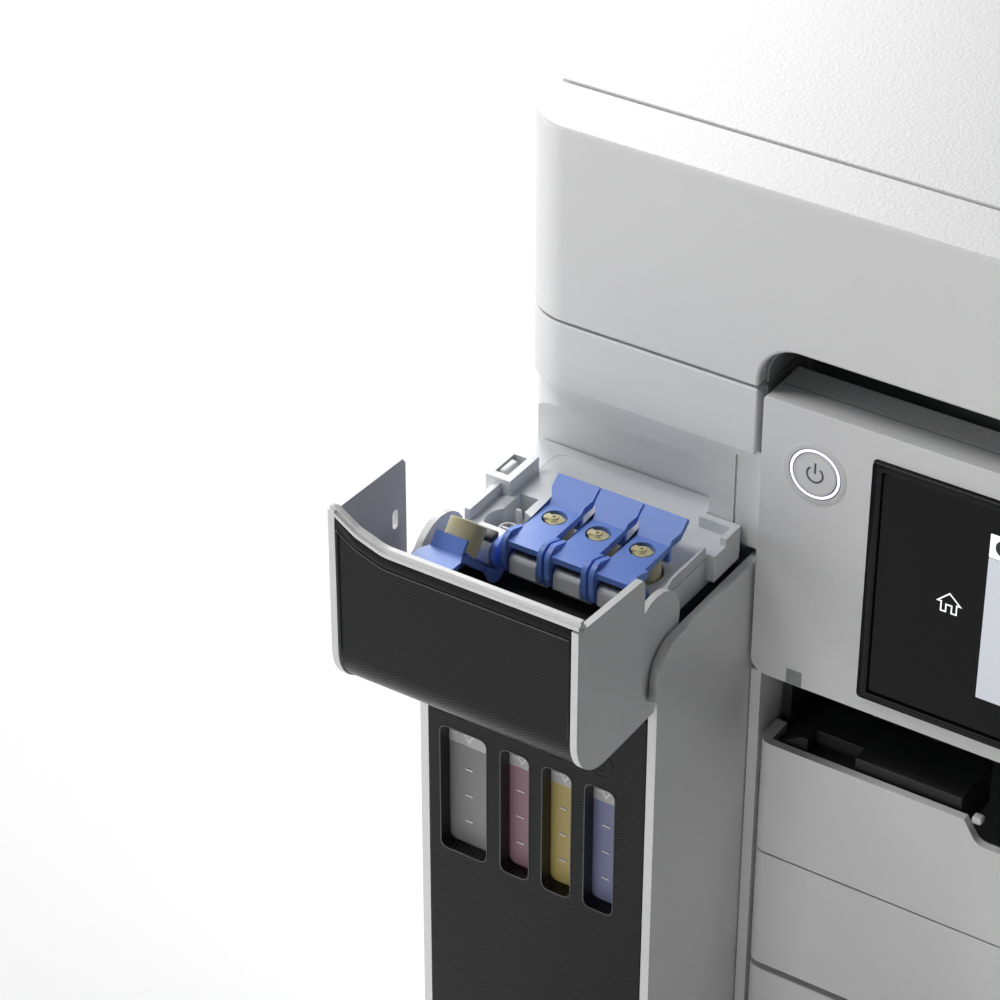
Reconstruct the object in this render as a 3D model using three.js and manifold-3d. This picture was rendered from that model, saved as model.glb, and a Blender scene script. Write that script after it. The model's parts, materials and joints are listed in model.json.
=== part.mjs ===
// Ink tank office printer: four refillable tanks at the front left under a hinged cover, a tilting touch
// panel, an output tray, two paper cassettes, a flatbed scanner and a document feeder.
// Millimetres, +Z up, front towards -Y, ink tanks on the -X side.
// The origin is the centre of the footprint's bounding box, on the surface that the feet stand on.
// The tank cover and the black tank's cap are modelled open, everything else closed.
import * as THREE from 'three';
import { mergeVertices } from 'three/addons/utils/BufferGeometryUtils.js';
import Module from 'manifold-3d';

const wasm = await Module();
wasm.setup();

// ---- Driving dimensions ----------------------------------------------------------------------
const WIDTH = 425;
const HEIGHT = 350;
const BODY_DEPTH = 443.5;
const COVER_REACH = 102.6; // how far the open tank cover stands in front of the machine's front face
const GAP = 0.4; // clearance between neighbouring pieces
const SIDE = WIDTH / 2;
const BODY_LEFT = -212.3; // the body's sides are almost flush with the scanner unit's
const BODY_RIGHT = 212.3;

// Heights of the main splits, from the floor up.
const FOOT_TOP = 8;
const SKIN_BOTTOM = 8.4;
const LOWER_FRONT = { z0: 12.6, z1: 57.3 };
const UPPER_FRONT = { z0: 59.8, z1: 106.9 };
const TRAY_FRONT = { z0: 107.6, z1: 152 };
const PANEL = { x0: -123.15, x1: 140, z0: 178.6, z1: 281, depth: 20 };
const BODY_TOP = 257.6;
const SCANNER = { z0: 258.3, z1: 282, depth: 436 };
const LID_BOTTOM = 282.7;
const LID_DEPTH = 433;
const SEAM_Y = 26.6; // the feeder's front seam, behind the front face
const NOTCH_TOP = 298.5;

// Tank bay.
const TANK = { x0: -210.7, x1: -124.2, front: -56.5, back: 15.5, wall: 3, top: 219 };
const DECK_TOP = 229;
const PORT_Y = -34.5;
const WINDOW = { z0: 110, z1: 159.6, radius: 2.4 };
const INKS = [
  { name: 'black', x: -191.8, window: [-203.0, -185.7], tank: [-203.6, -184.4] },
  { name: 'magenta', x: -174.9, window: [-180.1, -169.7], tank: [-182.2, -168.0] },
  { name: 'yellow', x: -159.25, window: [-164.5, -154.0], tank: [-166.4, -152.3] },
  { name: 'cyan', x: -143.6, window: [-148.8, -138.2], tank: [-150.7, -136.4] },
];
const COVER_PIVOT = { y: -52.4, z: 206.4 };
const CAP_PIVOT = { y: -48.6, z: 229 };
const CAP_OPEN = THREE.MathUtils.degToRad(138);

// ---- Finishes --------------------------------------------------------------------------------
function look(color, roughness, metalness = 0) {
  return new THREE.MeshStandardMaterial({ color, roughness, metalness });
}

const WHITE = look(0xe4e5e6, 0.55);
const PALE = look(0xd6d9db, 0.5);
const PANEL_GRAY = look(0xc3c5c8, 0.45);
const BLACK = look(0x17181a, 0.35);
const GLASS_BLACK = look(0x0a0a0c, 0.08);
const BLUE = look(0x6c8fd6, 0.45);
const BEIGE = look(0xd7cd99, 0.6);
const STEEL = look(0xb9bcc0, 0.3, 1);
const RUBBER = look(0x26272a, 0.9);
const GLASS = look(0xcfe0e0, 0.05);
const BOARD = look(0x1f5b3a, 0.6);
const LIGHT = look(0xf2f0ff, 0.3);
const INK_LOOKS = {
  black: look(0x8d8f92, 0.3),
  magenta: look(0xc9859f, 0.3),
  yellow: look(0xe3c15c, 0.3),
  cyan: look(0x8e9bd6, 0.3),
};

// ---- Shape helpers ---------------------------------------------------------------------------
const printer = new THREE.Group();
printer.position.y = -(BODY_DEPTH - COVER_REACH) / 2; // y = 0 in this group is the machine's front face

function solid(geometry) {
  geometry.deleteAttribute('normal');
  geometry.deleteAttribute('uv');
  const merged = mergeVertices(geometry, 1e-4);
  return new wasm.Manifold(new wasm.Mesh({
    numProp: 3,
    vertProperties: merged.attributes.position.array,
    triVerts: new Uint32Array(merged.index.array),
  }));
}

function box(x0, x1, y0, y1, z0, z1) {
  const geometry = new THREE.BoxGeometry(x1 - x0, y1 - y0, z1 - z0);
  geometry.translate((x0 + x1) / 2, (y0 + y1) / 2, (z0 + z1) / 2);
  return solid(geometry);
}

// A closed outline from corner points [a, b, radius]: a corner with a radius becomes a true arc.
function outline(corners) {
  const shape = new THREE.Shape();
  const count = corners.length;
  corners.forEach(([a, b, radius = 0], i) => {
    const corner = new THREE.Vector2(a, b);
    const before = corners[(i + count - 1) % count];
    const after = corners[(i + 1) % count];
    const u = new THREE.Vector2(before[0], before[1]).sub(corner).normalize();
    const v = new THREE.Vector2(after[0], after[1]).sub(corner).normalize();
    if (radius === 0) {
      if (i === 0) shape.moveTo(a, b);
      else shape.lineTo(a, b);
      return;
    }
    const half = Math.acos(THREE.MathUtils.clamp(u.dot(v), -1, 1)) / 2;
    const start = corner.clone().addScaledVector(u, radius / Math.tan(half));
    const end = corner.clone().addScaledVector(v, radius / Math.tan(half));
    const centre = corner.clone().addScaledVector(u.clone().add(v).normalize(), radius / Math.sin(half));
    if (i === 0) shape.moveTo(start.x, start.y);
    else shape.lineTo(start.x, start.y);
    const from = Math.atan2(start.y - centre.y, start.x - centre.x);
    const to = Math.atan2(end.y - centre.y, end.x - centre.x);
    const turnsRight = u.x * v.y - u.y * v.x > 0;
    shape.absarc(centre.x, centre.y, radius, from, to, turnsRight);
  });
  shape.closePath();
  return shape;
}

const rounded = (a0, a1, b0, b1, r) => outline([[a0, b0, r], [a1, b0, r], [a1, b1, r], [a0, b1, r]]);

const X_AXIS = new THREE.Vector3(1, 0, 0);
const Y_AXIS = new THREE.Vector3(0, 1, 0);
const Z_AXIS = new THREE.Vector3(0, 0, 1);
const ALONG_X = new THREE.Matrix4().makeBasis(Y_AXIS, Z_AXIS, X_AXIS);
const ALONG_Y = new THREE.Matrix4().makeBasis(X_AXIS, Z_AXIS, Y_AXIS.clone().negate());

function extrude(shape, depth, segments) {
  return new THREE.ExtrudeGeometry(shape, { depth, bevelEnabled: false, curveSegments: segments });
}

// A (y, z) outline drawn out along X, an (x, z) outline along Y, and an (x, y) outline along Z.
function prismX(shape, x0, x1, segments = 3) {
  return solid(extrude(shape, x1 - x0, segments).applyMatrix4(ALONG_X).translate(x0, 0, 0));
}

function prismY(shape, y0, y1, segments = 3) {
  return solid(extrude(shape, y1 - y0, segments).applyMatrix4(ALONG_Y).translate(0, y1, 0));
}

function prismZ(shape, z0, z1, segments = 3) {
  return solid(extrude(shape, z1 - z0, segments).translate(0, 0, z0));
}

function rod(axis, centre, radius, length, sides = 20) {
  const geometry = new THREE.CylinderGeometry(radius, radius, length, sides);
  if (axis === 'x') geometry.rotateZ(Math.PI / 2);
  if (axis === 'z') geometry.rotateX(Math.PI / 2);
  return solid(geometry.translate(...centre));
}

function addPiece(name, shape, material, parent = printer) {
  const { vertProperties, triVerts } = shape.getMesh();
  const geometry = new THREE.BufferGeometry();
  geometry.setAttribute('position', new THREE.BufferAttribute(vertProperties, 3));
  geometry.setIndex(new THREE.BufferAttribute(triVerts, 1));
  const piece = new THREE.Mesh(geometry.toNonIndexed(), material);
  piece.geometry.computeVertexNormals();
  piece.name = name;
  parent.add(piece);
  return piece;
}

const joined = (shapes) => shapes.reduce((all, shape) => all.add(shape));
const cut = (shape, tools) => tools.reduce((rest, tool) => rest.subtract(tool), shape);

// A slab seen from above, with its own radius at the front and back corners.
function slab(x0, x1, y0, y1, z0, z1, front, back) {
  return prismZ(outline([[x0, y0, front], [x1, y0, front], [x1, y1, back], [x0, y1, back]]), z0, z1, 8);
}

// ---- Fixed body ------------------------------------------------------------------------------
function addBodyShell() {
  const skin = 2.7;
  const back = 436;
  addPiece('base_pan', joined([
    box(-205, 203, 18, 434, SKIN_BOTTOM, SKIN_BOTTOM + 3),
    box(-119, 203, 6, 19, SKIN_BOTTOM, SKIN_BOTTOM + 3),
  ]), BLACK);
  const leftSide = outline([
    [16, SKIN_BOTTOM, 3], [back, SKIN_BOTTOM], [back, BODY_TOP], [20.2, BODY_TOP], [20.2, 221.6], [16, 221.6],
  ]);
  addPiece('left_cover', prismX(leftSide, BODY_LEFT, BODY_LEFT + skin), WHITE);
  addPiece('right_cover', slab(206.4, BODY_RIGHT, 0.6, back, SKIN_BOTTOM, BODY_TOP, 2.6, 0.6), WHITE);

  const inlet = { x0: -176, x1: -146, z0: 26, z1: 48 };
  const door = { x0: -110, x1: 150, z0: 70, z1: 210 };
  const rearSlab = slab(BODY_LEFT, BODY_RIGHT, back + GAP, BODY_DEPTH, SKIN_BOTTOM, BODY_TOP, 0.5, 6);
  addPiece('rear_cover', cut(rearSlab, [
    box(inlet.x0, inlet.x1, back - 1, BODY_DEPTH + 1, inlet.z0, inlet.z1),
    box(door.x0, door.x1, back - 1, BODY_DEPTH + 1, door.z0, door.z1),
  ]), WHITE);
  const doorFace = rounded(door.x0 + 0.6, door.x1 - 0.6, door.z0 + 0.6, door.z1 - 0.6, 3);
  const doorPlate = prismY(doorFace, back + 1, BODY_DEPTH);
  const fingerDip = prismY(rounded(0, 40, door.z1 - 18, door.z1 - 6, 4), BODY_DEPTH - 3.5, BODY_DEPTH + 1);
  addPiece('rear_door', doorPlate.subtract(fingerDip), WHITE);
  const inletFrame = rounded(inlet.x0 + GAP, inlet.x1 - GAP, inlet.z0 + GAP, inlet.z1 - GAP, 1);
  const inletSocket = rounded(inlet.x0 + 4, inlet.x1 - 4, inlet.z0 + 4, inlet.z1 - 4, 3);
  addPiece('power_inlet', prismY(inletFrame, back - 18, BODY_DEPTH - 1)
    .subtract(prismY(inletSocket, back - 12, BODY_DEPTH + 1)), BLACK);

  const footPlaces = {
    front_left: [-180, -28],
    front_right: [180, 40],
    rear_left: [-180, 405],
    rear_right: [180, 405],
  };
  for (const [place, [x, y]] of Object.entries(footPlaces)) {
    addPiece(`foot_${place}`, rod('z', [x, y, FOOT_TOP / 2], 11, FOOT_TOP, 24), RUBBER);
  }
}

// The white wall behind the tank deck, the post beside the drawers, the wall behind the tilting panel
// and the fixed fascia to its right, moulded as one frame.
function addFrontFrame() {
  const wallFront = 3.6;
  const cornerRadius = 16;
  const sideEnd = wallFront + cornerRadius + 0.2;
  const wall = prismZ(outline([
    [BODY_LEFT, wallFront, cornerRadius], [-123.8, wallFront], [-123.8, 34],
    [-209.2, 34], [-209.2, sideEnd], [BODY_LEFT, sideEnd],
  ]), 222, BODY_TOP, 8);
  const pocketSection = outline([[2, 250.8], [2, 215], [11.8, 215], [11.8, 240.5]]);
  const pocketFace = outline([[-230, 215], [-142.4, 215], [-142.4, 249, 8], [-230, 249]]);
  const pocket = prismX(pocketSection, -230, -120).intersect(prismY(pocketFace, 0, 14));
  const seam = box(-133.7, -132.9, 3, 4.6, 218, 254);
  const post = box(-123.8, -120.2, 2, 34, 12, PANEL.z0 - 1).add(box(-124, -120.2, 21, 34, 12, BODY_TOP));
  const panelBack = box(-121, 143, 27, 30, 178, BODY_TOP);
  const fascia = slab(141.6, 206, 0.6, 30, 153.6, BODY_TOP, 1, 0.5);
  const fasciaHollow = box(145, 202, 4, 31, 157, 254);
  const usbSocket = box(166, 180, -1, 6, 170, 176.5);
  addPiece('front_frame', cut(joined([wall.subtract(pocket), post, panelBack, fascia.subtract(fasciaHollow)]),
    [seam, usbSocket]), WHITE);
}

// ---- Ink tank unit ---------------------------------------------------------------------------
function addTankUnit() {
  const { x0, x1, front, back, wall, top } = TANK;
  const side = outline([[front, SKIN_BOTTOM, 2], [back, SKIN_BOTTOM], [back, top], [front, top, 12]]);
  const pinLength = 3.4;
  const pin = (x) => rod('x', [x, COVER_PIVOT.y, COVER_PIVOT.z], 2, pinLength, 16);
  addPiece('tank_housing', joined([
    prismX(side, x0, x0 + wall, 6),
    prismX(side, x1 - wall, x1, 6),
    box(x0 + 1, x1 - 1, front, back, SKIN_BOTTOM, SKIN_BOTTOM + 3.6),
    box(x0 + 1, x1 - 1, back - 3, back, SKIN_BOTTOM, top - 4),
    pin(x0 + wall + pinLength / 2 - 0.5),
    pin(x1 - wall - pinLength / 2 + 0.5),
  ]), WHITE);

  const panelX = [-207.3, -127.6];
  const panelBack = front + 4.9;
  const armClearance = 3.2;
  const windows = INKS.map(({ window: [a, b] }) =>
    prismY(rounded(a, b, WINDOW.z0, WINDOW.z1, WINDOW.radius), front - 1, panelBack + 1));
  addPiece('tank_front_panel', cut(box(panelX[0], panelX[1], front, panelBack, SKIN_BOTTOM + 4, 211.5), [
    ...windows,
    box(panelX[0] - 1, panelX[0] + armClearance, front - 1, panelBack + 1, 192, 213),
    box(panelX[1] - armClearance, panelX[1] + 1, front - 1, panelBack + 1, 192, 213),
  ]), BLACK);

  for (const { name, x, tank: [a, b] } of INKS) {
    const shell = box(a, b, panelBack + GAP, 11.8, 14, 218.4);
    const neck = rod('z', [x, PORT_Y, 221.5], 3.2, 9, 16);
    const bore = rod('z', [x, PORT_Y, 222], 2, 14, 12);
    addPiece(`ink_tank_${name}`, shell.add(neck).subtract(bore), INK_LOOKS[name]);
  }
}

// The pale deck around the filling ports, with a well for each port, the caps' hinge blocks and raised rims.
function addTankDeck() {
  const deck = { x0: -204.3, x1: -130.6, lip: -55.4, front: -42.9, back: 11.2, bottom: 219 };
  const latch = { x0: -208, x1: -199, y0: -22.4, y1: -5.3, top: 234.5 };
  const blockHalf = 4.7;
  const block = outline([
    [deck.front + 0.6, 219.2], [deck.front + 0.6, 232.2], [-52.8, 232.2, 2], [-52.8, 225.6], [-46, 219.2],
  ]);
  const pieces = [
    box(deck.x0, -142.9, deck.front, deck.back, deck.bottom, DECK_TOP),
    box(-143.5, deck.x1, deck.front, 3.2, deck.bottom, DECK_TOP),
    box(deck.x0, -200.4, deck.lip, deck.front + 1, deck.bottom, DECK_TOP),
    box(-135, deck.x1, deck.lip, deck.front + 1, deck.bottom, DECK_TOP),
    box(-208, deck.x0 + 1, latch.y0, deck.back, 221, DECK_TOP),
    box(deck.x0, deck.x0 + 2, -40, latch.y0 + 1, DECK_TOP - 1, DECK_TOP + 4),
    box(latch.x0, latch.x1, latch.y0, latch.y1, DECK_TOP - 1, latch.top),
    box(-141.2, -127.8, -4.6, -2.4, DECK_TOP - 1, DECK_TOP + 4),
    box(-129.9, -127.8, -11, -2.4, deck.bottom + 2, DECK_TOP + 4),
    box(-130.7, -127.8, -17.8, -10.9, deck.bottom + 2, DECK_TOP + 1.5),
    ...INKS.map(({ x }) => prismX(block, x - blockHalf, x + blockHalf, 2)),
  ];
  const wells = INKS.map(({ x }) => rod('z', [x, PORT_Y, DECK_TOP], 6.9, 2 * (DECK_TOP - 221), 20));
  const keyhole = joined([
    rod('z', [INKS[0].x, PORT_Y, DECK_TOP], 7.6, 2 * (DECK_TOP - 221), 20),
    box(-197, -190.5, -34, -19, 221, 240),
  ]);
  const bores = INKS.map(({ x }) => rod('z', [x, PORT_Y, 224], 3.7, 14, 12));
  const hingeBores = INKS.map(({ x }) => rod('x', [x, CAP_PIVOT.y, CAP_PIVOT.z], 2, 2 * blockHalf + 1, 10));
  const latchSlot = box(latch.x0 + 1.6, latch.x1 - 2.6, latch.y0 + 3, latch.y1 - 3, DECK_TOP + 1, 240);
  const openings = [...wells, keyhole, ...bores, ...hingeBores, latchSlot];
  addPiece('tank_deck', cut(joined(pieces), openings), PALE);
}

// ---- Tank cover, modelled open ----------------------------------------------------------------
// The cheeks' back edge is an arc round the closed wall's front corner, so that the cover shuts on the wall.
function cheekOutline(top, slope) {
  const back = -65.6;
  const arc = { y: -53, z: 214.3, r: 12.6 };
  const shape = new THREE.Shape();
  shape.moveTo(-102.6, top);
  shape.lineTo(-102.6, 199 + 16);
  shape.absarc(-102.6 + 16, 199 + 16, 16, Math.PI, 1.5 * Math.PI, false);
  shape.lineTo(-58.5, 199);
  const end = Math.asin((58.5 - 53) / arc.r);
  shape.absarc(arc.y, arc.z, arc.r, 1.5 * Math.PI - end, Math.PI, true);
  shape.lineTo(back, top - slope - 2);
  shape.lineTo(back - 1.5, top - slope);
  shape.closePath();
  return shape;
}

// A skin that follows the cheeks' outline from the lip down the front and under to the bottom edge.
function coverSkin(outer, inner, top, end) {
  const corner = 16;
  const shape = new THREE.Shape();
  shape.moveTo(-102.6 + outer, top);
  shape.lineTo(-102.6 + outer, 199 + corner);
  shape.absarc(-102.6 + corner, 199 + corner, corner - outer, Math.PI, 1.5 * Math.PI, false);
  shape.lineTo(end, 199 + outer);
  shape.lineTo(end, 199 + inner);
  shape.lineTo(-102.6 + corner, 199 + inner);
  shape.absarc(-102.6 + corner, 199 + corner, corner - inner, 1.5 * Math.PI, Math.PI, true);
  shape.lineTo(-102.6 + inner, top);
  shape.closePath();
  return shape;
}

// The lip's front view: straight on the right, rising at the left where the closed cover follows the
// body's corner.
function lipOutline(height) {
  const skinBottom = 190;
  return outline([[TANK.x0, skinBottom], [TANK.x1, skinBottom], [TANK.x1, height], [-191.5, height, 14],
    [-201, height + 3.2, 8], [-208.4, height + 8], [TANK.x0, height + 8]]);
}

function addTankCover() {
  const lip = 258.7;
  const cheek = 2.3;
  const { x0, x1 } = TANK;
  const arm = joined([
    prismX(outline([
      [-68, 203], [-60, 202], [-52, 199.8], [-46, 201], [-45, 212], [-56, 235], [-68, 228],
    ]), 0, 2.2),
    rod('x', [1.1, -52.3, 222.5], 14, 2.2, 24),
    rod('x', [1.1, COVER_PIVOT.y, COVER_PIVOT.z], 5.4, 2.2, 16),
  ]).subtract(rod('x', [1.1, COVER_PIVOT.y, COVER_PIVOT.z], 2.4, 5, 12));
  const armAt = (x) => arm.translate([x, 0, 0]);
  const web = (a, b) => prismX(outline([[-98, 206], [-66, 206], [-66, 224], [-90, 224]]), a, b);
  const shell = prismX(coverSkin(1.5, 2.9, 275, -60.2), x0 + 1, x1 - 1, 8)
    .intersect(prismY(lipOutline(lip), -110, -40));
  const lipBar = prismY(lipOutline(lip), -101.4, -99.7)
    .add(prismY(lipOutline(lip - 1.2), -102.6, -101.4))
    .subtract(prismY(lipOutline(lip - 2.5), -110, -90));
  const cheekSlot = prismX(rounded(-72.9, -70.1, 241.8, 248.6, 1.3), x0 - 1, x0 + cheek + 1);
  addPiece('tank_cover', joined([
    prismX(cheekOutline(266, 1.4), x0, x0 + cheek, 8),
    prismX(cheekOutline(255.3, 2.7), x1 - cheek, x1, 8),
    shell,
    lipBar,
    armAt(-207.1),
    armAt(-130),
    web(x0 + 1, -204.9),
    web(-130, x1 - 1),
  ]).subtract(cheekSlot), WHITE);
  const panelSkin = prismX(coverSkin(0.45, 1.2, 275, -58.9), x0 + cheek + 0.3, x1 - cheek - 0.3, 8);
  addPiece('tank_cover_panel', panelSkin.intersect(prismY(lipOutline(lip - 2.8), -110, -40)), BLACK);
}

// ---- Filling caps ----------------------------------------------------------------------------
// A lever with a raised finger tail, two hooked arms on a hinge pin, and a seal plug under the lever.
// The shapes are drawn closed, round the cap's own centre plane.
function capLever() {
  const plate = box(-5.9, 5.9, -52.5, -28, 235, 237);
  const keyHole = rod('z', [0, PORT_Y, 236], 4.1, 6, 16);
  const skirt = box(-5.6, 5.6, -28.2, -26.8, 230.4, 236.4);
  const tailSection = outline([[-28.6, 235], [-27.6, 235], [-19.2, 241.5], [-20.4, 243], [-28.6, 237]]);
  const tailPlan = outline([
    [-5.9, -29], [5.9, -29], [5.9, -26.8], [7.45, -24.4],
    [7.45, -18, 1.6], [-7.45, -18, 1.6], [-7.45, -24.4], [-5.9, -26.8],
  ]);
  const tail = prismX(tailSection, -7.5, 7.5, 1).intersect(prismZ(tailPlan, 230, 250, 1));
  const armShape = outline([
    [-53.7, 229], [-45, 229], [-45, 231], [-50, 233.5], [-49.5, 235],
    [-43, 235], [-43, 237], [-49.6, 239.2, 2], [-53.7, 237.5, 3],
  ]);
  const arms = [-1, 1].flatMap((side) => [
    prismX(armShape, side < 0 ? -7.35 : 5.7, side < 0 ? -5.7 : 7.35, 1),
    rod('x', [side * 6.6, CAP_PIVOT.y, CAP_PIVOT.z], 5.1, 1.5, 16),
  ]);
  const pin = rod('x', [0, CAP_PIVOT.y, CAP_PIVOT.z], 1.6, 12.6, 10);
  return joined([plate, skirt, tail, ...arms, pin]).subtract(keyHole);
}

function capSeal() {
  const plug = rod('z', [0, PORT_Y, 229.6], 6, 10, 20);
  const socket = rod('z', [0, PORT_Y, 224], 3.7, 8, 14);
  const stem = rod('z', [0, PORT_Y, 235], 3, 3, 12);
  const key = box(-3.4, 3.4, PORT_Y - 1, PORT_Y + 1, 235.5, 236.8);
  return joined([plug.subtract(socket), stem, key]);
}

function addCaps() {
  const lever = capLever();
  const seal = capSeal();
  for (const { name, x } of INKS) {
    const cap = new THREE.Group();
    cap.position.set(x, CAP_PIVOT.y, CAP_PIVOT.z);
    cap.rotation.x = name === 'black' ? CAP_OPEN : 0;
    printer.add(cap);
    for (const [piece, shape, material] of [['cap', lever, BLUE], ['cap_seal', seal, BEIGE]]) {
      addPiece(`${piece}_${name}`, shape, material, cap).position.set(0, -CAP_PIVOT.y, -CAP_PIVOT.z);
    }
  }
}

// ---- Control panel ---------------------------------------------------------------------------
const BUTTON = { x: -104.6, z: 259.2 };
const SCREEN = { x0: -85.3, x1: 97.5, z0: 184.6, z1: 271.7 };

function addControlPanel() {
  const face = outline([[PANEL.x0, PANEL.z0, 5.5], [PANEL.x1, PANEL.z0, 5.5], [PANEL.x1, PANEL.z1, 1.5],
    [PANEL.x0, PANEL.z1, 1.5]]);
  const screen = rounded(SCREEN.x0, SCREEN.x1, SCREEN.z0, SCREEN.z1, 1.5);
  const screenPocket = rounded(SCREEN.x0 - 0.3, SCREEN.x1 + 0.3, SCREEN.z0 - 0.3, SCREEN.z1 + 0.3, 1.7);
  addPiece('panel_housing', cut(prismY(face, 0, PANEL.depth), [
    prismY(screenPocket, -1, 2.6),
    rod('y', [BUTTON.x, 2, BUTTON.z], 9.1, 8, 36),
    box(PANEL.x0 + 3, PANEL.x1 - 3, 9, PANEL.depth + 1, PANEL.z0 + 3, PANEL.z1 - 3),
  ]), PANEL_GRAY);
  addPiece('touch_screen', prismY(screen, -0.3, 2.2), GLASS_BLACK);
  addPiece('power_button', rod('y', [BUTTON.x, 1.9, BUTTON.z], 7.2, 4, 32), PANEL_GRAY);
  addPiece('power_ring', rod('y', [BUTTON.x, 2.8, BUTTON.z], 8.8, 5.6, 36)
    .subtract(rod('y', [BUTTON.x, 2.8, BUTTON.z], 7.5, 8, 36)), LIGHT);
}

// ---- Scanner unit and document cover ---------------------------------------------------------
const PANEL_NOTCH = { x0: -125.3, x1: 142.4, y: 31 };

function addScanner() {
  addPiece('scanner_bed', cut(slab(-SIDE, SIDE, 0, SCANNER.depth, SCANNER.z0, SCANNER.z1, 18, 8), [
    box(PANEL_NOTCH.x0, PANEL_NOTCH.x1, -1, PANEL_NOTCH.y, SCANNER.z0 - 1, SCANNER.z1 + 1),
    box(-175, 175, 50, 415, SCANNER.z0 + 3, SCANNER.z1 + 1),
    box(-181, 181, 44, 421, SCANNER.z1 - 4.2, SCANNER.z1 + 1),
  ]), WHITE);
  addPiece('platen_glass', box(-180.6, 180.6, 44.4, 420.6, SCANNER.z1 - 3.8, SCANNER.z1 - 0.4), GLASS);
  addPiece('scan_carriage', joined([
    box(-172, -148, 56, 409, SCANNER.z0 + 4, SCANNER.z0 + 16),
    box(-163, -157, 60, 405, SCANNER.z0 + 15, SCANNER.z0 + 18.6),
  ]), BLACK);
}

function addDocumentCover() {
  const bottom = LID_BOTTOM;
  const splitX = 1;
  const lidFloor = 322;
  const trayFloor = 326;
  const notch = outline([
    [PANEL_NOTCH.x0, bottom - 2], [PANEL_NOTCH.x1, bottom - 2],
    [PANEL_NOTCH.x1, NOTCH_TOP, 13], [PANEL_NOTCH.x0, NOTCH_TOP, 13],
  ]);
  addPiece('document_cover', cut(slab(-SIDE, SIDE, 0, LID_DEPTH, bottom, HEIGHT, 18, 10), [
    prismY(notch, -1, PANEL_NOTCH.y, 8),
    box(-176, 176, 48, 417, bottom - 1, bottom + 4),
    box(-SIDE - 1, splitX, SEAM_Y, LID_DEPTH + 1, lidFloor, HEIGHT + 1),
    box(-150, -12, 70, 380, 300, HEIGHT),
    box(splitX + 1.5, SIDE + 1, 46, 392, trayFloor, HEIGHT + 1),
  ]), WHITE);
  const lid = outline([[-SIDE, SEAM_Y + 0.8], [splitX - 0.6, SEAM_Y + 0.8], [splitX - 0.6, LID_DEPTH],
    [-SIDE, LID_DEPTH, 10]]);
  addPiece('adf_cover', prismZ(lid, lidFloor + 0.6, HEIGHT, 8)
    .subtract(box(-206, -6, 36, 424, lidFloor - 1, HEIGHT - 3)), WHITE);
  addPiece('adf_input_tray', joined([
    box(splitX + 2, SIDE - 0.5, 46.6, 391.4, HEIGHT - 9, HEIGHT - 5.4),
    box(splitX + 2, SIDE - 0.5, 46.6, 391.4, HEIGHT - 6, HEIGHT),
  ]), WHITE);
  addPiece('adf_roller', joined([
    rod('y', [-60, 225, 312], 3, 230, 16),
    rod('y', [-60, 225, 312], 8, 60, 28),
  ]), RUBBER);
}

// ---- Paper handling --------------------------------------------------------------------------
const DRAWER = { x0: -119.5, x1: 205.7 };
const TRAY_BED = { x0: -112, x1: 198, back: 400, wall: 3 };

// A drawer front seen from the front, with rounded upper and lower left and right edges.
const drawerFront = (z0, z1) => slab(DRAWER.x0, DRAWER.x1, 0, 13, z0, z1, 5, 0.5);

function addOutputTray() {
  const { z0, z1 } = TRAY_FRONT;
  const dip = outline([
    [-46, z1 + 5], [-46, z1, 1], [-41, z1 - 8, 5], [123, z1 - 8, 5], [128, z1, 1], [128, z1 + 5],
  ]);
  const front = cut(drawerFront(z0, z1), [
    prismY(dip, -1, 14, 4),
    box(DRAWER.x0 + 4, DRAWER.x1 - 4, 3, 14, z0 + 10, z1 + 1),
  ]);
  const bed = joined([
    box(TRAY_BED.x0, TRAY_BED.x1, 2.5, 300, z0 + 2, z0 + 5),
    box(TRAY_BED.x0, TRAY_BED.x0 + 3, 2.5, 300, z0 + 2, z0 + 12),
    box(TRAY_BED.x1 - 3, TRAY_BED.x1, 2.5, 300, z0 + 2, z0 + 12),
  ]);
  const stopperSlot = box(24, 66, 16, 52, z0 + 1, z0 + 6);
  addPiece('output_tray', front.add(bed).subtract(stopperSlot), WHITE);
  addPiece('output_stopper', joined([
    box(25, 65, 18, 51.4, z0 + 2.4, z0 + 4.8),
    rod('x', [45, 19, z0 + 3.6], 1.2, 41, 12),
  ]), BLACK);
  const ramp = outline([[60, 132], [90, 147, 12], [330, 147], [330, 150], [88, 150, 12], [60, 135]]);
  const blockFace = outline([[-115.2, 140], [-49, 140], [-49, 156], [-106, 156], [-115.2, 149.5]]);
  const cornerBlock = prismY(blockFace, 4.2, 26).subtract(box(-103.4, -86.4, 3, 10, 150.5, 160));
  addPiece('output_chute', joined([
    cornerBlock,
    box(-117, -114, 17, 26, 140, 149),
    prismX(ramp, -116.4, 202),
    box(-119.4, -116, 16, 330, 122, 176),
    box(201.8, 205, 34, 330, 122, 176),
    box(-119.4, 205, 327, 330, 122, 176),
  ]), BLACK);
}

function addCassette(name, front) {
  const { x0, x1, back, wall } = TRAY_BED;
  const bottom = front.z0 + 0.6;
  const top = front.z1 - 4;
  const bin = box(x0, x1, 3, back, bottom, top)
    .subtract(box(x0 + wall, x1 - wall, 15, back - wall, bottom + 2.4, top + 1));
  const grip = prismY(rounded(-20, 106, front.z0 - 5, front.z0 + 9, 5), -1, 9);
  addPiece(`cassette_${name}`, drawerFront(front.z0, front.z1).add(bin).subtract(grip), WHITE);
  const guide = (a, b, foot) => joined([
    box(a, b, 120, 280, bottom + 2.8, top - 4),
    box(foot[0], foot[1], 190, 206, bottom + 2.8, bottom + 5),
  ]);
  addPiece(`edge_guide_${name}_left`, guide(-66, -63, [-64, -20]), PALE);
  addPiece(`edge_guide_${name}_right`, guide(149, 152, [106, 150]), PALE);
}

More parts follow.
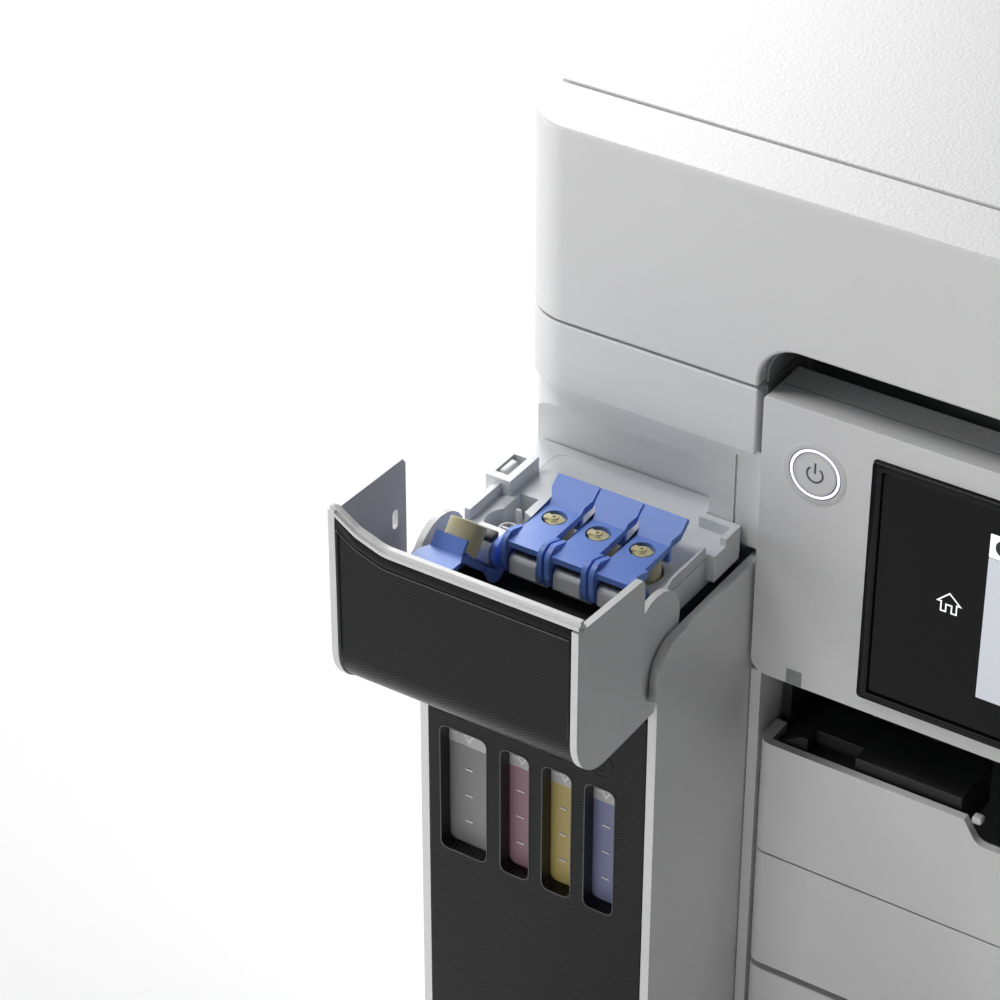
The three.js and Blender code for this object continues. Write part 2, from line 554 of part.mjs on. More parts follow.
// ---- Print engine ----------------------------------------------------------------------------
function addPrintEngine() {
  const deckTop = 256.8;
  addPiece('engine_deck', box(-206, 204, 36, 434, deckTop - 3, deckTop)
    .subtract(prismZ(rounded(-112, 190, 70, 250, 8), deckTop - 5, deckTop + 2)), PALE);
  addPiece('carriage_rail', joined([
    box(-112, 194, 190, 196, 196, 226),
    box(-112, 194, 176, 196, 222, 226),
  ]), STEEL);
  addPiece('print_head', cut(joined([
    box(100, 160, 108, 172, 186, 238),
    box(106, 154, 171, 186, 200, 218),
  ]), [box(106, 154, 114, 166, 216, 240)]), BLACK);
  addPiece('platen', box(-108, 190, 96, 180, 176, 181), BLACK);
  addPiece('feed_roller', rod('x', [41, 206, 184], 7, 300, 28), STEEL);
  addPiece('timing_belt', cut(prismY(rounded(-104, 186, 206, 216, 4.9), 200, 205), [
    prismY(rounded(-103, 185, 207, 215, 3.9), 199, 206),
  ]), RUBBER);
  addPiece('carriage_motor', rod('y', [178, 232, 211], 14, 40, 28), STEEL);
  addPiece('maintenance_box', box(112, 196, 340, 425, 196, 240), BLACK);
  addPiece('power_supply', box(-198, -126, 290, 415, 16, 84)
    .subtract(box(-194, -130, 294, 411, 20, 100)), STEEL);
  addPiece('main_board', box(-190, -132, 60, 240, 120, 121.6), BOARD);
  addPiece('pickup_roller_upper', joined([
    rod('x', [41, 385, 117], 3, 120, 14),
    rod('x', [41, 385, 117], 9.5, 40, 24),
  ]), RUBBER);
  addPiece('pickup_roller_lower', joined([
    rod('x', [41, 412, 66], 3, 120, 14),
    rod('x', [41, 412, 66], 9.5, 40, 24),
  ]), RUBBER);
}

addBodyShell();
addFrontFrame();
addTankUnit();
addTankDeck();
addTankCover();
addCaps();
addControlPanel();
addScanner();
addDocumentCover();
addOutputTray();
addCassette('upper', UPPER_FRONT);
addCassette('lower', LOWER_FRONT);
addPrintEngine();

export default printer;
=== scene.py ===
import json
import math

import bmesh
import bpy
from mathutils import Matrix, Vector


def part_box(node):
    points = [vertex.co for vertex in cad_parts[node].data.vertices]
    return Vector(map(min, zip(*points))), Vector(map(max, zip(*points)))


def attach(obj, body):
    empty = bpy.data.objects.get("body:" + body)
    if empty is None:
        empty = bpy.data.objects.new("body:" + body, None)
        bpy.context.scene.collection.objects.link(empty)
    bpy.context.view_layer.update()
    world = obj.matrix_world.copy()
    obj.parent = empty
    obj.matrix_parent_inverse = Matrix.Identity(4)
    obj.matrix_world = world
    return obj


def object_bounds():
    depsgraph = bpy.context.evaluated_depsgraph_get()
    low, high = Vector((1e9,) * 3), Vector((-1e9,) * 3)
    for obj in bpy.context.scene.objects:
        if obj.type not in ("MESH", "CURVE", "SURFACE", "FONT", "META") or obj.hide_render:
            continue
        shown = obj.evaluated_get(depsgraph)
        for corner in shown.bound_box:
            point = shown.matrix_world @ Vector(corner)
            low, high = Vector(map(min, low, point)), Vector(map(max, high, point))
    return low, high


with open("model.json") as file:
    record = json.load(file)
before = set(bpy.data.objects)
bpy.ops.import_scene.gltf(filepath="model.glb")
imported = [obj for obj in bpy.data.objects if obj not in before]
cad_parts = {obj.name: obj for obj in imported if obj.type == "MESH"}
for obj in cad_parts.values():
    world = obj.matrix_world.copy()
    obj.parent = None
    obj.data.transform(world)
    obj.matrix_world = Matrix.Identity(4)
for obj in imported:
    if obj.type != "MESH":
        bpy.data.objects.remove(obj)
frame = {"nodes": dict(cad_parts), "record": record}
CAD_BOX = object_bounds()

MM = 0.001
NODES = frame["nodes"]

# Places are written in millimetres from the machine's front face, its middle and the floor.
BED_LOW, BED_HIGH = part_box("scanner_bed")
ORIGIN = Vector(((BED_LOW.x + BED_HIGH.x) / 2, BED_LOW.y, CAD_BOX[0].z))


def at(x, y, z):
    return ORIGIN + Vector((x, y, z)) * MM


def near(node):
    """A node's box in the same millimetres."""
    low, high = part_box(node)
    return (low - ORIGIN) / MM, (high - ORIGIN) / MM


# ---- Camera ------------------------------------------------------------------------------------
# Fitted to straight edges of the object in the photograph.
CAMERA_PLACE = (281.4, -768.8, 832.7)
AZIMUTH = 33.01
ELEVATION = 33.83
LENS = 123.6
SHIFT = (0.0023, -0.0268)


def add_camera():
    azimuth, elevation = math.radians(AZIMUTH), math.radians(ELEVATION)
    forward = Vector((
        -math.sin(azimuth) * math.cos(elevation),
        math.cos(azimuth) * math.cos(elevation),
        -math.sin(elevation),
    ))
    data = bpy.data.cameras.new("camera")
    data.sensor_width = 36
    data.lens = LENS
    data.shift_x, data.shift_y = SHIFT
    data.clip_start = 0.05
    data.clip_end = 20
    camera = bpy.data.objects.new("camera", data)
    camera.location = at(*CAMERA_PLACE)
    camera.rotation_euler = forward.to_track_quat("-Z", "Y").to_euler()
    bpy.context.scene.collection.objects.link(camera)
    bpy.context.scene.camera = camera


# ---- Materials ---------------------------------------------------------------------------------
def new_material(name):
    material = bpy.data.materials.new(name)
    material.use_nodes = True
    tree = material.node_tree
    return material, tree, tree.nodes["Principled BSDF"]


def link(tree, source, output, target, slot_name):
    tree.links.new(source.outputs[output], target.inputs[slot_name])


def coordinates(tree):
    place = tree.nodes.new("ShaderNodeTexCoord")
    mapping = tree.nodes.new("ShaderNodeMapping")
    link(tree, place, "Object", mapping, "Vector")
    return mapping


def noise(tree, scale, detail=2.0, vector=None):
    node = tree.nodes.new("ShaderNodeTexNoise")
    node.inputs["Scale"].default_value = scale
    node.inputs["Detail"].default_value = detail
    link(tree, vector or coordinates(tree), "Vector", node, "Vector")
    return node


def color_ramp(tree, shader, source, output, stops):
    """A base colour picked between two (position, colour) stops."""
    ramp = tree.nodes.new("ShaderNodeValToRGB")
    for element, (position, color) in zip(ramp.color_ramp.elements, stops):
        element.position = position
        element.color = (*color, 1)
    link(tree, source, output, ramp, "Fac")
    link(tree, ramp, "Color", shader, "Base Color")


def tinted(tree, shader, color, spread, scale=9.0):
    """A base colour that drifts a little over the surface."""
    dark = [c * (1 - spread) for c in color]
    pale = [min(1, c * (1 + spread)) for c in color]
    color_ramp(tree, shader, noise(tree, scale), "Fac", ((0.35, dark), (0.65, pale)))


def bumped(tree, shader, source, output, depth):
    """Relief of a depth in millimetres."""
    bump = tree.nodes.new("ShaderNodeBump")
    bump.inputs["Strength"].default_value = 1.0
    bump.inputs["Distance"].default_value = depth * MM
    link(tree, source, output, bump, "Height")
    link(tree, bump, "Normal", shader, "Normal")


def weighted_sum(tree, first, output, weight, second, second_output):
    """The first value times a weight, plus the second."""
    total = tree.nodes.new("ShaderNodeMath")
    total.operation = "MULTIPLY_ADD"
    total.inputs[1].default_value = weight
    link(tree, first, output, total, 0)
    link(tree, second, second_output, total, 2)
    return total


def wave(tree, direction, pitch, vector):
    """Bands a pitch in millimetres apart."""
    node = tree.nodes.new("ShaderNodeTexWave")
    node.bands_direction = direction
    node.inputs["Scale"].default_value = math.pi / 10 / (pitch * MM)
    link(tree, vector, "Vector", node, "Vector")
    return node


def moulded(name, color, roughness, grain=0.9, depth=0.05):
    """Moulded plastic with a fine leather-like grain, of a size and a depth in millimetres."""
    material, tree, shader = new_material(name)
    shader.inputs["Roughness"].default_value = roughness
    shader.inputs["IOR"].default_value = 1.46
    tinted(tree, shader, color, 0.012)
    cells = tree.nodes.new("ShaderNodeTexVoronoi")
    cells.feature = "SMOOTH_F1"
    cells.inputs["Scale"].default_value = 1 / (grain * MM)
    cells.inputs["Randomness"].default_value = 1.0
    link(tree, coordinates(tree), "Vector", cells, "Vector")
    fine = noise(tree, 2.3 / (grain * MM), 3.0)
    total = weighted_sum(tree, fine, "Fac", 0.6, cells, "Distance")
    bumped(tree, shader, total, "Value", depth)
    return material


WEAVE_PITCH = 0.95
WEAVE_DEPTH = 0.06
WEAVE_TURN = math.radians(33)


def woven_gloss(name, color):
    """Black gloss over a fine diagonal weave."""
    material, tree, shader = new_material(name)
    shader.inputs["Roughness"].default_value = 0.3
    shader.inputs["IOR"].default_value = 1.3
    shader.inputs["Coat Weight"].default_value = 0.06
    shader.inputs["Coat Roughness"].default_value = 0.2
    turned = coordinates(tree)
    turned.inputs["Rotation"].default_value = (0, WEAVE_TURN, 0)
    warp = wave(tree, "Z", WEAVE_PITCH, turned)
    weft = wave(tree, "X", WEAVE_PITCH * 0.8, turned)
    total = weighted_sum(tree, weft, "Fac", 0.35, warp, "Fac")
    dark = [c * 0.45 for c in color]
    pale = [c * 2.0 for c in color]
    color_ramp(tree, shader, total, "Value", ((0.3, dark), (0.95, pale)))
    bumped(tree, shader, total, "Value", WEAVE_DEPTH)
    return material


def smooth_gloss(name, color, roughness, ior=1.3):
    material, tree, shader = new_material(name)
    shader.inputs["IOR"].default_value = ior
    tinted(tree, shader, color, 0.04, 40.0)
    smudge = noise(tree, 30.0)
    spread = tree.nodes.new("ShaderNodeMapRange")
    spread.inputs["To Min"].default_value = roughness
    spread.inputs["To Max"].default_value = roughness * 1.6
    link(tree, smudge, "Fac", spread, "Value")
    link(tree, spread, "Result", shader, "Roughness")
    return material


def brushed(name, color):
    material, tree, shader = new_material(name)
    shader.inputs["Metallic"].default_value = 1.0
    shader.inputs["Roughness"].default_value = 0.32
    tinted(tree, shader, color, 0.05)
    streaks = coordinates(tree)
    streaks.inputs["Scale"].default_value = (40, 2500, 2500)
    bumped(tree, shader, noise(tree, 1.0, 2.0, streaks), "Fac", 0.02)
    return material


def glowing(name, color, strength):
    material, tree, shader = new_material(name)
    shader.inputs["Roughness"].default_value = 0.4
    tinted(tree, shader, color, 0.02, 60.0)
    shader.inputs["Emission Color"].default_value = (*color, 1)
    shader.inputs["Emission Strength"].default_value = strength
    return material


def clear_glass(name):
    material, tree, shader = new_material(name)
    tinted(tree, shader, (0.9, 0.96, 0.95), 0.01)
    shader.inputs["Roughness"].default_value = 0.02
    shader.inputs["Transmission Weight"].default_value = 0.85
    shader.inputs["IOR"].default_value = 1.5
    return material


def board_green(name):
    material, tree, shader = new_material(name)
    shader.inputs["Roughness"].default_value = 0.35
    bricks = tree.nodes.new("ShaderNodeTexBrick")
    bricks.inputs["Color1"].default_value = (0.02, 0.16, 0.07, 1)
    bricks.inputs["Color2"].default_value = (0.03, 0.2, 0.09, 1)
    bricks.inputs["Mortar"].default_value = (0.1, 0.34, 0.16, 1)
    bricks.inputs["Scale"].default_value = 150
    bricks.inputs["Mortar Size"].default_value = 0.03
    link(tree, coordinates(tree), "Vector", bricks, "Vector")
    link(tree, bricks, "Color", shader, "Base Color")
    return material


WHITE = moulded("white_shell", (0.80, 0.80, 0.80), 0.42, 1.1, 0.045)
INNER = moulded("inner_white", (0.72, 0.745, 0.76), 0.4, 0.5, 0.012)
PANEL = moulded("panel_silver", (0.76, 0.76, 0.765), 0.36, 1.3, 0.08)
DISH = moulded("panel_dish", (0.66, 0.66, 0.665), 0.4)
# Dark gray of the chips, the USB tongue and the panel seam; also the painted shade of the vents and the
# latch slot.
GRAPHITE = moulded("graphite", (0.075, 0.078, 0.08), 0.45, 0.6, 0.02)
# Dark gray for the insides of the notches over the panel: painted shade over the white plastic there.
NOTCH_SHADE = moulded("notch_shade_gray", (0.24, 0.245, 0.25), 0.45, 0.6, 0.02)
# Black plastic; also the painted shade of the plate under the deck and of the pads on the hinge blocks.
BLACK = moulded("black_plastic", (0.026, 0.026, 0.028), 0.42, 0.6, 0.03)
WEAVE = woven_gloss("black_weave", (0.0085, 0.0085, 0.009))
PIANO = smooth_gloss("piano_black", (0.008, 0.008, 0.009), 0.08)
SCREEN_GLASS = smooth_gloss("screen_glass", (0.004, 0.004, 0.005), 0.05)
BLUE = moulded("cap_blue", (0.19, 0.33, 0.86), 0.42, 0.5, 0.012)
BEIGE = moulded("seal_beige", (0.66, 0.60, 0.36), 0.6, 0.4, 0.01)
STEEL = brushed("steel", (0.62, 0.62, 0.64))
RUBBER = moulded("soft_rubber", (0.02, 0.02, 0.021), 0.75, 0.4, 0.03)
RING_LIGHT = glowing("ring_light", (0.86, 0.82, 1.0), 1.1)
SCAN_GLASS = clear_glass("scan_glass")
BOARD = board_green("circuit_board")
INKS = {
    "black": moulded("ink_gray", (0.26, 0.26, 0.265), 0.3, 0.8, 0.004),
    "magenta": moulded("ink_magenta", (0.38, 0.22, 0.27), 0.3, 0.8, 0.004),
    "yellow": moulded("ink_yellow", (0.54, 0.43, 0.16), 0.3, 0.8, 0.004),
    "cyan": moulded("ink_cyan", (0.24, 0.255, 0.42), 0.3, 0.8, 0.004),
}
CLEAR_TANK = moulded("tank_clear", (0.55, 0.55, 0.55), 0.25, 0.8, 0.004)
MARK = moulded("gauge_mark", (0.78, 0.78, 0.78), 0.35, 0.8, 0.004)
PRINT_GRAY = moulded("printed_gray", (0.09, 0.09, 0.095), 0.5, 0.6, 0.01)
RING_GUIDE = moulded("ring_guide", (0.62, 0.61, 0.68), 0.35, 0.6, 0.02)
SMOKY = moulded("smoky_window", (0.30, 0.31, 0.31), 0.3, 0.6, 0.02)
# Gloss lighter than the piano black: a painted highlight on the window rims and along the cover's trim
# line.
RIM_HIGHLIGHT = smooth_gloss("rim_painted_highlight", (0.07, 0.07, 0.072), 0.14, 1.5)
DISPLAY = glowing("display_body", (0.51, 0.535, 0.575), 0.6)
DISPLAY_HEAD = glowing("display_head", (0.80, 0.82, 0.85), 0.85)
DISPLAY_TILE = glowing("display_tile", (0.20, 0.34, 0.52), 0.8)
DISPLAY_INK = glowing("display_ink", (0.02, 0.022, 0.026), 0.3)
GLYPH = glowing("glyph_white", (0.9, 0.92, 0.93), 0.8)

SLOT_LOOKS = {
    "white_plastic": WHITE,
    "pale_plastic": INNER,
    "panel_plastic": PANEL,
    "black_plastic": BLACK,
    "black_mesh_panel": WEAVE,
    "touch_glass": SCREEN_GLASS,
    "status_light": RING_GUIDE,
    "cap_blue": BLUE,
    "seal_rubber": BEIGE,
    "steel": STEEL,
    "soft_rubber": RUBBER,
    "scan_glass": SCAN_GLASS,
    "circuit_board": BOARD,
    **{f"ink_tank_{ink}": look for ink, look in INKS.items()},
}


# ---- Finishing the CAD nodes -------------------------------------------------------------------
SHARP = math.radians(35)
EDGE = 0.35  # how far a moulded edge is rounded, in millimetres
EDGES = {
    "document_cover": 1.2, "scanner_bed": 0.7, "adf_cover": 0.5, "adf_input_tray": 0.5,
    "output_tray": 0.8, "cassette_upper": 0.8, "cassette_lower": 0.8, "tank_housing": 0.7,
    "tank_cover": 0.5, "panel_housing": 1.4, "left_cover": 0.8, "right_cover": 0.6, "rear_cover": 0.6,
}


def soften(node, width):
    """Rounds a node's edges with modifiers, and leaves its own mesh as it is."""
    piece = NODES[node]
    piece.data.polygons.foreach_set("use_smooth", [True] * len(piece.data.polygons))
    weld = piece.modifiers.new("weld", "WELD")
    weld.merge_threshold = 0.01 * MM
    flat = piece.modifiers.new("flat", "DECIMATE")
    flat.decimate_type = "DISSOLVE"
    flat.angle_limit = math.radians(0.5)
    edge = piece.modifiers.new("edge", "BEVEL")
    edge.width = width * MM
    edge.segments = 3 if width > 0.6 else 2
    edge.limit_method = "ANGLE"
    edge.angle_limit = SHARP
    edge.use_clamp_overlap = True
    edge.miter_outer = "MITER_ARC"
    normals = piece.modifiers.new("normals", "WEIGHTED_NORMAL")
    normals.weight = 100


def finish_nodes():
    for row in frame["record"]["subparts"]:
        piece = NODES[row["node"]]
        piece.data.materials.clear()
        piece.data.materials.append(SLOT_LOOKS[row["material_slot"]])
        soften(row["node"], EDGES.get(row["node"], EDGE))


# ---- Mesh helpers ------------------------------------------------------------------------------
def add_mesh(name, mesh, material, body):
    data = bpy.data.meshes.new(name)
    mesh.normal_update()
    mesh.to_mesh(data)
    mesh.free()
    data.materials.append(material)
    data.shade_smooth()
    data.set_sharp_from_angle(angle=SHARP)
    piece = bpy.data.objects.new(name, data)
    bpy.context.scene.collection.objects.link(piece)
    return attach(piece, body)


def bevelled(mesh, width):
    edges = [e for e in mesh.edges if e.is_manifold and e.calc_face_angle(0) > SHARP]
    if width > 0 and edges:
        bmesh.ops.bevel(
            mesh, geom=edges, offset=width * MM, segments=2, profile=0.5, affect="EDGES",
            clamp_overlap=True,
        )


def rectangle(a0, a1, b0, b1):
    return [(a0, b0), (a1, b0), (a1, b1), (a0, b1)]


def rounded(a0, a1, b0, b1, radius, steps=5):
    """A rectangle's outline with round corners, anticlockwise."""
    points = []
    centres = [(a1 - radius, b0 + radius, -90), (a1 - radius, b1 - radius, 0),
               (a0 + radius, b1 - radius, 90), (a0 + radius, b0 + radius, 180)]
    for a, b, start in centres:
        for i in range(steps + 1):
            turn = math.radians(start + 90 * i / steps)
            points.append((a + radius * math.cos(turn), b + radius * math.sin(turn)))
    return points


def looped(points):
    """A path that comes back to its first point."""
    return points + points[:1]


AXES = {
    "x": lambda a, b, along: at(along, a, b),
    "y": lambda a, b, along: at(a, along, b),
    "z": lambda a, b, along: at(a, b, along),
}


def prism(name, outline, axis, start, end, material, body, edge, place=None, holes=()):
    """An outline drawn out along an axis, with its edges rounded."""
    mesh = bmesh.new()
    for ring in (outline, *holes):
        verts = [mesh.verts.new(AXES[axis](a, b, start)) for a, b in ring]
        for i, vert in enumerate(verts):
            mesh.edges.new((vert, verts[(i + 1) % len(verts)]))
    if holes:
        bmesh.ops.triangle_fill(mesh, use_beauty=True, use_dissolve=True, edges=mesh.edges[:])
    else:
        mesh.faces.new(mesh.verts[:])
    drawn = bmesh.ops.extrude_face_region(mesh, geom=mesh.faces[:])
    shift = AXES[axis](0, 0, end) - AXES[axis](0, 0, start)
    moved = [v for v in drawn["geom"] if isinstance(v, bmesh.types.BMVert)]
    bmesh.ops.translate(mesh, vec=shift, verts=moved)
    bmesh.ops.recalc_face_normals(mesh, faces=mesh.faces[:])
    bevelled(mesh, edge)
    if place:
        mesh.transform(place)
    return add_mesh(name, mesh, material, body)


def lathe(name, profile, centre, axis, material, body, steps, place=None):
    """A closed profile of (radius, height) points turned round an axis through the centre."""
    mesh = bmesh.new()
    rings = []
    for i in range(steps):
        turn = 2 * math.pi * i / steps
        ring = []
        for radius, height in profile:
            a, b = radius * math.cos(turn), radius * math.sin(turn)
            offset = {"x": (height, a, b), "y": (a, height, b), "z": (a, b, height)}[axis]
            ring.append(mesh.verts.new(at(*(c + o for c, o in zip(centre, offset)))))
        rings.append(ring)
    for i, ring in enumerate(rings):
        following = rings[(i + 1) % steps]
        for j in range(len(profile)):
            k = (j + 1) % len(profile)
            if profile[j][0] == 0 and profile[k][0] == 0:
                continue
            mesh.faces.new((ring[j], following[j], following[k], ring[k]))
    bmesh.ops.remove_doubles(mesh, verts=mesh.verts[:], dist=1e-7)
    bmesh.ops.dissolve_degenerate(mesh, edges=mesh.edges[:], dist=1e-7)
    bmesh.ops.recalc_face_normals(mesh, faces=mesh.faces[:])
    if place:
        mesh.transform(place)
    return add_mesh(name, mesh, material, body)


def corners(points, steps):
    """A closed outline from (a, b) or (a, b, radius) corners, anticlockwise or clockwise."""
    result = []
    for i, point in enumerate(points):
        corner = Vector(point[:2])
        radius = point[2] if len(point) > 2 else 0
        if radius == 0:
            result.append(tuple(corner))
            continue
        before = (Vector(points[i - 1][:2]) - corner).normalized()
        after = (Vector(points[(i + 1) % len(points)][:2]) - corner).normalized()
        half = before.angle(after) / 2
        centre = corner + (before + after).normalized() * radius / math.sin(half)
        start = corner + before * radius / math.tan(half) - centre
        end = corner + after * radius / math.tan(half) - centre
        turn = start.angle_signed(end)
        for k in range(steps + 1):
            step = -turn * k / steps
            result.append((
                centre.x + start.x * math.cos(step) - start.y * math.sin(step),
                centre.y + start.x * math.sin(step) + start.y * math.cos(step),
            ))
    return result


def arc(a, b, radius, start, end, steps=24):
    angles = [math.radians(start + (end - start) * i / steps) for i in range(steps + 1)]
    return [(a + radius * math.cos(t), b + radius * math.sin(t)) for t in angles]


def stroke(name, paths, width, axis, start, end, material, body):
    """Raised lines of one width along (a, b) paths. A path that ends where it began is closed."""
    mesh = bmesh.new()
    for path in paths:
        closed = path[0] == path[-1]
        points = [Vector(p) for p in (path[:-1] if closed else path)]
        count = len(points)
        sides = []
        for i, point in enumerate(points):
            before = points[i - 1] if closed or i > 0 else None
            after = points[(i + 1) % count] if closed or i < count - 1 else None
            arriving = (point - before).normalized() if before is not None else None
            leaving = (after - point).normalized() if after is not None else None
            along = arriving if leaving is None else leaving
            if arriving is not None and leaving is not None:
                along = (arriving + leaving).normalized()
            normal = Vector((-along.y, along.x))
            straight = leaving if leaving is not None else arriving
            reach = width / 2 / max(0.4, normal.dot(Vector((-straight.y, straight.x))))
            sides.append((point + normal * reach, point - normal * reach))
        rings = [
            [mesh.verts.new(AXES[axis](*side, level)) for side in pair for level in (start, end)]
            for pair in sides
        ]
        for i in range(count if closed else count - 1):
            one, two = rings[i], rings[(i + 1) % count]
            for j, k in ((0, 1), (1, 3), (3, 2), (2, 0)):
                mesh.faces.new((one[j], one[k], two[k], two[j]))
        if not closed:
            for ring in (rings[0], rings[-1]):
                mesh.faces.new((ring[0], ring[1], ring[3], ring[2]))
    bmesh.ops.recalc_face_normals(mesh, faces=mesh.faces[:])
    return add_mesh(name, mesh, material, body)


def disc(name, a, b, radius, axis, start, end, material, body, steps, edge):
    outline = arc(a, b, radius, 0, 360 - 360 / steps, steps - 1)
    return prism(name, outline, axis, start, end, material, body, edge)


# ---- Control panel -----------------------------------------------------------------------------
DISPLAY_X = (-46.0, 80.0)
DISPLAY_Z = (200.1, 251.5)
HEADER_TOP = 260.1
HEADER_GAP = 0.25
MENU_DOT_Z = 256
TILE_START = (8, 5)  # the first tile's place in the display
TILE_PITCH = (29, 23)
TILE_SIZE = (23, 18)
TILE_COLUMNS, TILE_ROWS = 4, 2
HOME_PLACE = (-57.3, 230.5)
HOME_SCALE = 0.86
HOME_OUTLINE = [(-4.4, -0.1), (0, 4.0), (4.4, -0.1), (3.0, -0.1), (3.0, -4.0), (1.1, -4.0), (1.1, -0.9),
                (-1.1, -0.9), (-1.1, -4.0), (-3.0, -4.0), (-3.0, -0.1)]
# Profiles of the parts round the power button, as (radius, distance behind the front face).
RING_DISH = [(8.9, -0.02), (10.5, -0.14), (10.8, -0.01), (10.6, 0.06), (8.95, 0.06)]
RING_LENS = [(7.65, -0.05), (7.8, -0.22), (8.35, -0.22), (8.5, -0.05), (8.4, 0.02), (7.8, 0.02)]
BUTTON_EDGE = [(6.6, -0.12), (7.0, -0.18), (7.25, -0.08), (7.2, 0.05), (6.6, 0.05)]
STATUS_WINDOW_X = (-110.4, -104.9)
STATUS_WINDOW_TOP = 184.4
SEAM_Y = (9.0, 9.25)
SEAM_INSET = 1.6


def add_screen():
    body = "control_panel"
    low, high = near("touch_screen")
    face = low.y - 0.02
    lit, tile_face, mark_face = face - 0.1, face - 0.15, face - 0.2
    opening = rounded(low.x + 3.4, high.x - 3.4, low.z + 2.7, high.z - 2.7, 0.8)
    prism("screen_bezel", rounded(low.x, high.x, low.z, high.z, 1.5), "y", face - 1.0, face, PIANO, body,
          0.3, holes=[opening])
    left, right = DISPLAY_X
    bottom, header = DISPLAY_Z
    prism("display_body", rounded(left, right, bottom, header, 0.2, 2), "y", lit, face, DISPLAY, body, 0)
    prism("display_header", rounded(left, right, header + HEADER_GAP, HEADER_TOP, 0.2, 2), "y", lit, face,
          DISPLAY_HEAD, body, 0)
    disc("display_menu_dot", left + 4.8, MENU_DOT_Z, 3.0, "y", tile_face, lit, DISPLAY_INK, body, 32, 0)
    for column in range(TILE_COLUMNS):
        for row in range(TILE_ROWS):
            a = left + TILE_START[0] + column * TILE_PITCH[0]
            b = bottom + TILE_START[1] + row * TILE_PITCH[1]
            look = DISPLAY_TILE if (column + row) % 3 == 0 else DISPLAY_HEAD
            prism(f"display_tile_{column}_{row}", rounded(a, a + TILE_SIZE[0], b, b + TILE_SIZE[1], 2), "y",
                  tile_face, lit, look, body, 0)
            square = looped(rounded(a + 7, a + 16, b + 5, b + 13, 1))
            circle = arc(a + 11.5, b + 9, 4, 0, 360)
            stroke(f"display_tile_mark_{column}_{row}", [circle if row else square], 0.7, "y", mark_face,
                   tile_face, DISPLAY_INK, body)
    x, z = HOME_PLACE
    house = [(x + HOME_SCALE * a, z + HOME_SCALE * b) for a, b in HOME_OUTLINE]
    stroke("home_glyph", [looped(house)], 0.42, "y", lit, face, GLYPH, body)


def add_panel_details():
    body = "control_panel"
    ring_low, ring_high = near("power_ring")
    x, z = (ring_low.x + ring_high.x) / 2, (ring_low.z + ring_high.z) / 2
    lathe("ring_dish", RING_DISH, (x, 0, z), "y", DISH, body, 72)
    lathe("ring_lens", RING_LENS, (x, 0, z), "y", RING_LIGHT, body, 72)
    lathe("button_edge", BUTTON_EDGE, (x, 0, z), "y", DISH, "power_button", 64)
    stroke("power_glyph", [arc(x, z, 2.7, 128, 412), [(x, z + 0.3), (x, z + 4.1)]], 0.6, "y", -0.16, -0.08,
           PRINT_GRAY, "power_button")

    panel_low, panel_high = near("panel_housing")
    window = rounded(*STATUS_WINDOW_X, panel_low.z + 0.2, STATUS_WINDOW_TOP, 0.3, 2)
    prism("status_window", window, "y", -0.1, 0.3, SMOKY, body, 0.04)
    seam = rectangle(panel_low.x + SEAM_INSET, panel_high.x - SEAM_INSET, *SEAM_Y)
    prism("panel_top_seam", seam, "z", panel_high.z - 0.1, panel_high.z + 0.03, GRAPHITE, body, 0)


# ---- Painted shade in the notch over the panel -------------------------------------------------
NOTCH_X = (-125.3, 142.4)
NOTCH_TOP = 298.5
NOTCH_RADIUS = 13
NOTCH_SHADE_DEPTH = (4.5, 29.9)
PLATE_DEPTH = (30.0, 30.8)  # of the shade plates behind the rims


def arch(x0, x1, z0, z1, radius, inset):
    return corners([(x0 + inset, z0), (x0 + inset, z1 - inset, radius - inset),
                    (x1 - inset, z1 - inset, radius - inset), (x1 - inset, z0)], 8)


# Dark gray plates and rims inside the notches of the lid and the bed: painted shade.
def add_notch_shade():
    x0, x1 = NOTCH_X
    cover_low = near("document_cover")[0]
    low = cover_low.z + 0.3
    outer = arch(x0, x1, low, NOTCH_TOP, NOTCH_RADIUS, 0.3)
    inner = arch(x0, x1, low, NOTCH_TOP, NOTCH_RADIUS, 1.1)
    prism("notch_shade_back", outer, "y", *PLATE_DEPTH, NOTCH_SHADE, "document_cover", 0.1)
    prism("notch_shade_rim", outer + inner[::-1], "y", *NOTCH_SHADE_DEPTH, NOTCH_SHADE, "document_cover", 0.15)
    bed_low, bed_high = near("scanner_bed")
    z0, z1 = bed_low.z + 0.3, bed_high.z - 0.3
    plate = rounded(x0 + 0.3, x1 - 0.3, z0, z1, 0.3, 2)
    prism("bed_notch_shade_back", plate, "y", *PLATE_DEPTH, NOTCH_SHADE, "scanner_unit", 0.1)
    for side, a, b in (("left", x0 + 0.2, x0 + 0.9), ("right", x1 - 0.9, x1 - 0.2)):
        prism(f"bed_notch_shade_{side}", rectangle(a, b, *NOTCH_SHADE_DEPTH), "z", z0, z1, NOTCH_SHADE, "scanner_unit", 0.15)


# ---- Ink gauges --------------------------------------------------------------------------------
# Where each tank's cap, window, dashes and full mark are across the machine, and its emblem's place.
TANKS = {
    "black": {
        "x": -191.8, "window": (-203.0, -185.7), "marks": -195.6, "arrow": -195.5, "icon": (-195.0, 169.5),
    },
    "magenta": {
        "x": -174.9, "window": (-180.1, -169.7), "marks": -176.0, "arrow": -175.4, "icon": (-174.9, 169.7),
    },
    "yellow": {
        "x": -159.25, "window": (-164.5, -154.0), "marks": -160.0, "arrow": -159.5, "icon": (-159.3, 169.2),
    },
    "cyan": {
        "x": -143.6, "window": (-148.8, -138.2), "marks": -144.0, "arrow": -144.2, "icon": (-143.5, 169.1),
    },
}
WINDOW_Z = (110.0, 159.6)
INK_TOP = 150.2
FULL_MARK_Z = 153.6
DASH_LEVELS = (140.7, 130.1, 119.4)


